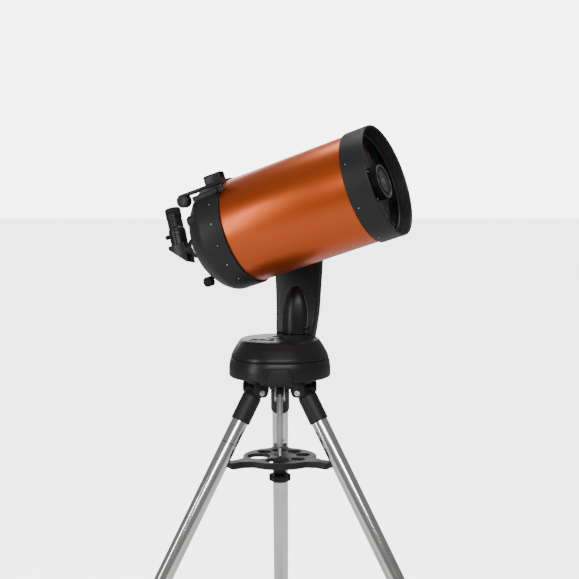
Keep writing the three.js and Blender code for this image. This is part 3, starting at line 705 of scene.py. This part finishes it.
def arm_loop(level, keep):
    """One level of the arm, kept on the inner side (-1) or the outer side (1) of the split."""
    height, width, inner, outer = level
    shoulder = inner + min(14, (outer - inner) / 3)
    corner = min(5, width / 3)
    line = [(-width, shoulder), (-width, inner), (width, inner), (width, shoulder)]
    rounded = eased(line, corner * 2, steps=6)
    loop = [(spot.x, spot.y) for spot in rounded]
    for i in range(1, 32):
        angle = i / 32 * math.pi
        loop.append((width * math.cos(angle), shoulder + (outer - shoulder) * math.sin(angle)))
    dome_edge = dome_reach(height)
    edge = SPLIT + keep * 0.2
    points = []
    for x, y in loop:
        beyond = (y - edge) * keep < 0
        if beyond:
            x, y = x * 0.985, edge
        if math.hypot(x, y) < dome_edge:
            y = math.sqrt(max(dome_edge**2 - x**2, 0))
        if keep < 0:
            y = min(y, edge)
        points.append((x, y, height))
    return points


levels = between_levels(ARM_LEVELS, 5)
COLUMN_TOP = 194


def column_size(height):
    share = (height - 87) / (COLUMN_TOP - 87)
    fall = math.sqrt(max(1 - share**2.4, 0))
    return 31.5 * fall + 0.6, 24 * fall + 0.6


column_loops = []
for i in range(25):
    height = COLUMN_TOP - (COLUMN_TOP - DECK_TOP) * (1 - i / 24) ** 1.6
    width, reach = column_size(height)
    angles = [step / 28 * math.pi for step in range(29)]
    loop = [(-width * math.cos(angle), 90 - reach * math.sin(angle), height) for angle in angles]
    column_loops.append(loop + [(width, 97, height), (-width, 97, height)])
inner_half = loft([arm_loop(level, -1) for level in levels if level[0] >= 58]) + loft(column_loops)


def face_at(height):
    """Where the arm's inner face is at a height."""
    for low, high in zip(ARM_LEVELS, ARM_LEVELS[1:]):
        if low[0] <= height <= high[0]:
            return low[2] + (high[2] - low[2]) * (height - low[0]) / (high[0] - low[0])
    return ARM_LEVELS[-1][2]


edge_line = []
for i in range(41):
    height = DECK_TOP + 1 + (COLUMN_TOP - DECK_TOP) * math.sin(i / 40 * math.pi / 2)
    width, reach = column_size(min(height, COLUMN_TOP - 0.01))
    rise = min(max((90 - face_at(height)) / reach, 0), 0.95)
    edge_line.append((width * math.sqrt(1 - rise**2) + 0.4, face_at(height) - 0.2, height))
mirrored = [(-x, y, z) for x, y, z in reversed(edge_line[:-1])]
edge_bead = bead(edge_line + mirrored, 1.15)

foot = [(35, 84), (35, 78)] + [(35 * math.cos(a), 90 - 27.5 * math.sin(a)) for a in angles if 0.2 < a < 2.94]
foot += [(-35, 78), (-35, 84)]
inner_half += plate(foot, DECK_TOP, DECK_TOP + 2.6, 0.8)
stop = turn([(0, 0), (2.4, 0), (2.2, 3), (4.2, 4.2), (4.6, 6.5), (3.4, 8.8), (0, 9.3)], 36, 0.8)
inner_half += stop.turned(90, "X").moved(31, 82, 103)
# The bead's grey is a painted highlight along the column's edge.
piece("arm_edge_bead", edge_bead, mount_place, bright_edge_black, "mount")
piece("arm_inner_half", inner_half, mount_place, moulded_black, "mount", ["arm_inner_shell"], smooth=45)

outer_half = loft([arm_loop(level, 1) for level in levels])
piece("arm_outer_half", outer_half, mount_place, moulded_black, "mount", ["arm_outer_shell"], smooth=45)


# ---- Optical tube ----
# A thin rolled tube in metallic copper-orange paint under clear lacquer, between two black
# cells. In its own frame Z runs forwards along the optical axis and X is the side of the arm.
along = Vector(joints["mirror_slide"]["axis"])
pivot = Vector(joints["altitude"]["pos_m"])
tube_place = axes(pivot, away, along.cross(away))


def lacquered_copper(point, shader):
    flake = point.noise(2600, 1.0)
    drift = point.noise(3.0, 2.0)
    deep, bright = colour(0.5, 0.072, 0.01), colour(0.66, 0.115, 0.02)
    wire(shader, "Base Color", (flake * 0.5 + drift * 0.5).blend(deep, bright))
    wire(shader, "Metallic", 0.85)
    wire(shader, "Roughness", 0.3 + flake * 0.1)
    wire(shader, "Coat Weight", 0.16)
    wire(shader, "Coat Roughness", 0.16)
    wire(shader, "Normal", bump(flake, 0.00002, 0.4))


copper_paint = finish("copper_paint", lacquered_copper)
TOP = 90
TUBE_FRONT = 228


def on_tube(shape, degrees, radius, station):
    """Stands a shape made about Z on the tube's skin, at an angle from the arm side."""
    return shape.turned(90, "Y").moved(x=radius, z=station).turned(degrees, "Z")


skin = ring(113.2, 115, -57.3, TUBE_FRONT - 0.4, 256, 0.3)
piece("painted_tube", skin, tube_place, copper_paint, "tube_assembly", ["optical_tube"])

# The front cell is a deep machined ring. The corrector plate lies on its ledge under a
# retaining ring that carries fine white index marks.
FRONT_CELL = [(112.6, 228), (118.4, 228), (119.3, 229.2), (119.3, 279.2), (118.2, 280.6), (115.6, 280.6)]
FRONT_CELL += [(114.3, 278), (114.3, 250), (106, 250), (106, 246), (112.6, 239)]
cell = turn(FRONT_CELL, 256, 0.8, closed=True)
piece("front_cell_casting", cell, tube_place, cast_black, "tube_assembly", ["front_cell"])

RING_FRONT = 258
retainer_profile = [
    (103, 254.3), (113.9, 254.3), (113.9, 257.6), (112.9, RING_FRONT), (104.5, RING_FRONT),
    (103, 256),
]
retainer = turn(retainer_profile, 200, 0.3, True)
for number in range(6):
    retainer += bolt_head(1.9, 1.0).moved(x=108.5, z=RING_FRONT - 0.5).turned(60 * number + 15, "Z")
piece("retaining_collar", retainer, tube_place, plain_black, "tube_assembly", ["retaining_ring"])


def ink_white(point, shader):
    wire(shader, "Base Color", point.noise(300, 2.0).blend(colour(0.55, 0.55, 0.55), colour(0.8, 0.8, 0.8)))
    wire(shader, "Roughness", 0.5)


white_ink = finish("white_ink", ink_white)
marks = Shape([], [])
for start, count in ((28, 22), (64, 12), (-28, 30)):
    for number in range(count):
        if number % 6 == 5:
            continue
        mark = block((107.4, -0.55, RING_FRONT - 0.3), (110.6, 0.55, RING_FRONT + 0.12), 0.1)
        marks += mark.turned(180 - start - number * 1.35, "Z")
piece("index_marks", marks, tube_place, white_ink, "tube_assembly")


def clear_glass(point, shader):
    film = point.noise(20, 2.0)
    wire(shader, "Base Color", film.blend(colour(0.93, 0.97, 0.96), colour(0.97, 0.98, 1.0)))
    wire(shader, "Roughness", film * 0.02)
    wire(shader, "Transmission Weight", 1.0)
    wire(shader, "IOR", 1.15)


coated_glass = finish("coated_glass", clear_glass)
corrector = ring(30, 113.8, 250.3, 253.9, 200, 0.2)
piece("corrector_glass", corrector, tube_place, coated_glass, "tube_assembly", ["corrector_plate"])

# The secondary mirror's housing stands through the corrector, under a round cover with a
# grey rim and a smoked, slightly hollow face.
holder_profile = [
    (0, 244), (29.6, 244), (29.6, 254.6), (36, 254.6), (36, 270.5), (35, 271.8), (33, 271.8),
    (32.4, 269.6), (0, 269.6),
]
holder = turn(holder_profile, 128, 0.8)
for number in range(3):
    holder += bolt_head(2.2, 1.6).moved(x=25, z=269.4).turned(120 * number + 30, "Z")
piece("secondary_housing", holder, tube_place, plain_black, "tube_assembly", ["secondary_holder"])


def anodised_grey(point, shader):
    sweep = point.noise(500, 2.0)
    wire(shader, "Base Color", sweep.blend(colour(0.16, 0.16, 0.16), colour(0.24, 0.24, 0.24)))
    wire(shader, "Metallic", 0.8)
    wire(shader, "Roughness", 0.35 + sweep * 0.1)


def smoked_lens(point, shader):
    haze = point.noise(90, 3.0)
    wire(shader, "Base Color", haze.blend(colour(0.01, 0.011, 0.012), colour(0.05, 0.05, 0.046)))
    wire(shader, "Metallic", 0.35)
    wire(shader, "Roughness", 0.08 + haze * 0.08)


grey_anodised = finish("grey_anodised", anodised_grey)
smoked = finish("smoked_lens", smoked_lens)
rim_ring = turn([(33.2, 271.4), (35.9, 271.4), (35.9, 272), (33.2, 272)], 128, 0.15, True)
piece("housing_rim", rim_ring, tube_place, grey_anodised, "tube_assembly")
DISH = [(0, 269.7), (23.5, 269.7), (23.5, 271), (21.5, 271.6), (18, 270.9), (10, 270.4), (0, 270.2)]
piece("housing_face", turn(DISH, 96, 0.3), tube_place, smoked, "tube_assembly")
hub = turn([(0, 270), (5.6, 270), (5.6, 271.4), (4.2, 271.9), (0, 271.9)], 48, 0.4)
piece("housing_boss", hub, tube_place, grey_anodised, "tube_assembly")


def silvered(point, shader):
    dust = point.noise(40, 3.0)
    wire(shader, "Base Color", dust.blend(colour(0.88, 0.89, 0.9), colour(0.93, 0.93, 0.93)))
    wire(shader, "Metallic", 1.0)
    wire(shader, "Roughness", 0.015 + dust * 0.02)


silver_mirror = finish("silver_mirror", silvered)
convex = turn([(0, 237), (20, 236.7), (33, 236), (33, 243.6), (0, 243.6)], 96, 0.2)
piece("secondary_glass", convex, tube_place, silver_mirror, "tube_assembly", ["secondary_mirror"])
curve = [(22 + step * 9.9, -82.3 + step**2 * 0.0945) for step in range(9)]
primary = [(22.6, -112), (30, -112), (34, -92), (101.4, -90)] + curve[::-1]
piece(
    "primary_glass",
    turn(primary, 160, 0.2, True),
    tube_place, silver_mirror, "mirror_carrier", ["primary_mirror"],
)
baffle = [(19, -143.6), (22, -143.6), (22, 60), (19, 60)]
piece("baffle_pipe", turn(baffle, 96, 0.3, True), tube_place, baffle_black, "tube_assembly", ["baffle_tube"])
lining = ring(112.0, 113.1, -56, 227, 160, 0.2)
piece("flocked_lining", lining, tube_place, baffle_black, "tube_assembly")

# The rear cell is a cast bowl. Button screws hold the tube round its band, and a boss stands
# on its shoulder.
REAR_CELL = [
    (119.3, -57.9), (119.3, -109), (116.2, -118.5), (107, -132.6), (89, -149.6), (80, -155.6),
    (62, -156.8),
]
REAR_CELL += [(19.2, -156.8), (19.2, -151), (76, -151), (102, -128), (114.3, -107), (114.3, -57.9)]
bowl = turn(REAR_CELL, 256, 3.0, closed=True)
for number in range(3):
    bowl += bolt_head(3.2, 1.6).turned(180, "X").moved(x=48, z=-156).turned(120 * number + 20, "Z")
boss = turn([(0, -139), (13, -139), (13, -129), (11, -117), (0, -117)], 64, 2.5)
bowl += boss.moved(x=-93, y=46)
piece("rear_cell_bowl", bowl, tube_place, cast_black, "tube_assembly", ["rear_cell"])

# Small plated button screws hold both cells to the tube. A near-black ring round each one is painted shade
# standing for its countersink.
screws = Shape([], [])
countersink_shade = Shape([], [])
for number in range(16):
    angle = TOP + 11.25 + 22.5 * number
    screws += on_tube(bolt_head(1.7, 0.8), angle, 119.0, -80)
    countersink_shade += on_tube(ring(1.8, 3.1, -0.6, 0.25, 32, 0.15), angle, 119.2, -80)
for number in range(8):
    angle = TOP + 22.5 + 45 * number
    screws += on_tube(bolt_head(1.6, 0.8), angle, 119.0, 240)
    countersink_shade += on_tube(ring(1.7, 2.8, -0.6, 0.25, 32, 0.15), angle, 119.2, 240)
piece("cell_screws", screws, tube_place, zinc_plate, "tube_assembly")
# Painted shade round the screw heads.
piece("cell_countersinks", countersink_shade, tube_place, baffle_black, "tube_assembly")

flat_bar = [(-18, 119.8), (18, 119.8), (22, 129.8), (-22, 129.8)]
dovetail = plate(eased([(y, x) for x, y in flat_bar], 0.8, closed=True), -102.8, 245.8, 0.8)
for station in (-90, 235):
    dovetail += on_tube(bolt_head(4, 0.8), 0, 129.4, station)
piece("dovetail_rail", dovetail, tube_place, cast_black, "tube_assembly", ["dovetail_bar"])

jaw = [(120.2, 18.9), (130.4, 22.8), (137.6, 22.8), (137.6, 32), (136, 34), (120.2, 34)]
clamp = disc(36, 130.3, 137.8, 96, 1.2).turned(90, "Y")
for flip in (1, -1):
    side_jaw = eased([(x, flip * y) for x, y in jaw], 1.2, closed=True)
    clamp += plate(side_jaw, -30, 30, 0.8)
piece("saddle_clamp", clamp, tube_place, cast_black, "tube_assembly", ["saddle"])
star = polar(72, lambda angle: 9.4 + 0.6 * math.cos(6 * angle))
saddle_grip = plate(star, 37.2, 49.8, 1.4) + disc(3, 34.2, 40, 24)
saddle_grip = saddle_grip.turned(-90, "X").moved(x=126)
piece("saddle_grip", saddle_grip, tube_place, plain_black, "saddle_screw", ["saddle_knob"])

# The focus knob has a ribbed rubber grip, and the visual back is a threaded collar of turned
# and blackened metal with one bright edge.
FOCUS = [(0, -158.4), (5, -158.4), (5, -160), (10.4, -160.4), (10.4, -177), (8.8, -179.8), (0, -179.8)]
focus = turn(FOCUS, 72, 0.9)
for number in range(30):
    focus += block((10.2, -0.55, -175.6), (10.95, 0.55, -162), 0.25).turned(number * 12, "Z")
piece("focus_grip", focus.moved(x=-27, y=-82), tube_place, rubber_black, "focuser", ["focus_knob"])

BACK = [
    (16.2, -157.5), (25.9, -157.5), (25.9, -165.8), (23.4, -168), (23.4, -180), (22.6, -180.6),
    (23.4, -181.2),
]
BACK += [(23.4, -192), (22, -195.8), (16.2, -195.8)]
piece(
    "visual_back_collar",
    turn(BACK, 128, 0.5, True),
    tube_place, plain_black, "tube_assembly", ["visual_back"],
)
bright_edge = ring(23.0, 23.48, -186.6, -185.0, 96, 0.1)
piece("bright_collar_edge", bright_edge, tube_place, polished_steel, "tube_assembly")


# ---- Star diagonal and eyepiece ----
# A prism housing turns the light up through a right angle. Its black nose slides into the
# visual back, and a thumbscrew in the socket holds the eyepiece.
lift = Vector(joints["eyepiece_pull"]["axis"])
diagonal_place = axes(joints["diagonal_turn"]["pos_m"], along, lift.cross(along))

PRISM = [(19.8, -26.8), (19.8, 18.8), (-21.8, 18.8), (-21.8, 11), (16, -26.8)]
housing = plate(eased(PRISM, 2.2, closed=True, steps=5), -16.9, 16.9, 1.2).turned(90, "X")
housing += turn([(19, 17), (19, 49.6), (16.25, 49.6), (16.25, 21.2), (16.25, 17)], 96, 0.7, True)
housing += ring(16.25, 19.4, 40, 49.8, 96, 0.5)
for corner in ((15.5, -20), (15.5, 14.5), (-17, 14.5), (-17, 11.5)):
    screw = bolt_head(1.8, 0.7).turned(90, "X").moved(x=corner[0], y=-16.6, z=corner[1])
    housing += screw + screw.turned(180, "Z").moved(x=corner[0] * 2)
piece("diagonal_housing", housing, diagonal_place, moulded_black, "star_diagonal", ["diagonal_body"])

nose = ring(13.4, 15.8, 19.2, 67.9, 96, 0.5).turned(90, "Y")
piece("diagonal_nose", nose, diagonal_place, plain_black, "star_diagonal")
slanted = plate(eased([(-14, -14), (14, -14), (14, 14), (-14, 14)], 1.5, closed=True), -0.35, 0.35, 0.15)
slanted = slanted.turned(45, "Y").moved(x=-3, z=-8)
piece("diagonal_cover_plate", slanted, diagonal_place, plain_black, "star_diagonal")

ribbed = polar(72, lambda angle: 4.7 + 0.28 * math.cos(18 * angle))
thumb = disc(2, 20, 24.5, 24, 0.2) + plate(ribbed, 22.4, 30.8, 0.8)
thumb = thumb.turned(-90, "Y").moved(z=44)
piece("diagonal_thumb_grip", thumb, diagonal_place, plain_black, "diagonal_screw", ["diagonal_thumbscrew"])

BARREL = [(0, 22.2), (13.6, 22.2), (15.8, 22.2), (15.8, 50.4), (18.8, 50.4), (18.8, 53.8), (16.9, 57.3)]
BARREL += [(16.9, 58.4), (16.5, 59), (16.9, 59.6), (16.9, 79.8), (17.9, 82), (17.9, 89.8), (12.5, 89.8)]
BARREL += [(11, 87), (0, 86.2)]
barrel = turn(BARREL, 128, 0.5)
piece("eyepiece_barrel", barrel, diagonal_place, moulded_black, "ocular", ["eyepiece"])
grip_rings = Shape([], [])
for number in range(7):
    grip_rings += ring(16.7, 16.98, 61 + number * 2.6, 62.3 + number * 2.6, 96, 0.1)
piece("eyepiece_grip_bands", grip_rings, diagonal_place, rubber_black, "ocular")
eye_lens = turn([(0, 86), (10.8, 86), (10.8, 86.9), (6, 88.2), (0, 88.7)], 64, 0.2)
piece("eye_lens", eye_lens, diagonal_place, smoked, "ocular")
CUP = [(12.1, 90.4), (17.4, 90.4), (17.9, 96), (17.4, 102.9), (14.1, 102.9), (12.1, 96)]
piece("rubber_eyecup", turn(CUP, 96, 1.0, True), diagonal_place, rubber_black, "ocular", ["eyecup"])


# ---- Red-dot finder ----
# A moulded finder on a small dovetail rail. Light enters the hood at the front, and a coin
# cell sits in the round end at the back under the window that shows the dot.
finder_place = axes(pivot, along, away)


def along_finder(outline, low, high, edge, holes=()):
    """A bar along the finder with a cross-section of (sideways, up) points."""
    return plate(outline, low, high, edge, holes).turned(90, "X").turned(90, "Z")


BRACKET = [(-83.8, 84.2), (-66.2, 84.2), (-66.2, 96.3), (-83.8, 96.3)]
bracket = along_finder(eased(BRACKET, 2.4, closed=True), -121.8, -46.2, 1.6)
finder_foot = piece("finder_foot", bracket, finder_place, cast_black, "tube_assembly", ["finder_bracket"])
carve(finder_foot, disc(119.8, -150, 280, 256, 0.2), tube_place)

# The body: a square hood, a slim beam from the hood to the round battery housing, and a
# recessed foot that leaves a dark slot over the bracket.
HOOD = [(-85.8, 107.2), (-60.2, 107.2), (-60.2, 125.6), (-63.5, 128.3), (-82.5, 128.3), (-85.8, 125.6)]
WINDOW = [(-82.8, 112.2), (-63.2, 112.2), (-63.2, 125.2), (-82.8, 125.2)]
BEAM = [(-83.8, 103.2), (-62.2, 103.2), (-62.2, 109.8), (-83.8, 109.8)]
SHOE = [(-79.6, 97), (-72.4, 97), (-72.4, 104), (-79.6, 104)]
finder = along_finder(eased(HOOD, 3, closed=True), -81.8, -42.2, 1.0, [eased(WINDOW, 2, closed=True)])
finder += along_finder(eased(BEAM, 2.4, closed=True), -146, -42.4, 1.2)
finder += along_finder(SHOE, -99.6, -60.4, 0.5)
battery_end = [
    (0, 64.2), (13.4, 64.2), (14.8, 66.5), (14.8, 81.5), (13.2, 83.4), (9.2, 83.8), (8.6, 82.9),
    (0, 82.9),
]
finder += turn(battery_end, 96, 0.9).turned(90, "X").moved(x=-146, z=95.5)
finder += block((-148.5, -83.7, 94.8), (-143.5, -82.6, 96.2), 0.2)
for x in (-76, -48):
    finder += bolt_head(1.6, 0.7).turned(90, "X").moved(x, -85.3, 110.4)
piece("finder_moulding", finder, finder_place, moulded_black, "tube_assembly", ["finder_body"], smooth=32)

pane = block((-47.6, -83, 112), (-46, -63, 125.4), 0.3)
piece("finder_window", pane, finder_place, coated_glass, "tube_assembly")
emitter = block((-81, -76, 109.2), (-74, -70, 113.6), 0.6)
piece("finder_emitter", emitter, finder_place, plain_black, "tube_assembly")
DIAL = [(0, 0.2), (5.8, 0.2), (5.8, 5.4), (4.8, 6.7), (0, 6.8)]
dial = turn(DIAL, 64, 0.6)
for number in range(20):
    dial += block((5.5, -0.35, 0.8), (5.95, 0.35, 5.2), 0.12).turned(number * 18, "Z")
dial += block((-0.5, 1, 6.5), (0.5, 4.6, 6.95), 0.15)
dial = dial.turned(90, "X").moved(-62, -84.4, 91)
piece("finder_dial_cap", dial, finder_place, plain_black, "finder_switch", ["finder_dial"])


# ---- Floor ----
# A wide pale floor under the three feet.
FLOOR_SEEN = 3.8


def floor_paint(point, shader):
    cloud = point.noise(1.5, 3.0)
    seen = point.node("ShaderNodeLightPath", {}, {})
    dark, lit = colour(0, 0, 0), colour(FLOOR_SEEN, FLOOR_SEEN, FLOOR_SEEN)
    wire(shader, "Base Color", cloud.blend(colour(0.8, 0.8, 0.8), colour(0.84, 0.84, 0.84)))
    wire(shader, "Roughness", 0.8)
    wire(shader, "Emission Color", seen.blend(dark, lit))
    wire(shader, "Emission Strength", 1.0)


FLOOR_REACH = 30
floor_mesh = bpy.data.meshes.new("floor")
corners = [(-FLOOR_REACH, -FLOOR_REACH, 0), (FLOOR_REACH, -FLOOR_REACH, 0)]
corners += [(FLOOR_REACH, FLOOR_REACH, 0), (-FLOOR_REACH, FLOOR_REACH, 0)]
floor_mesh.from_pydata(corners, [], [(0, 1, 2, 3)])
floor_mesh.materials.append(finish("floor", floor_paint))
floor = bpy.data.objects.new("floor", floor_mesh)
bpy.context.collection.objects.link(floor)
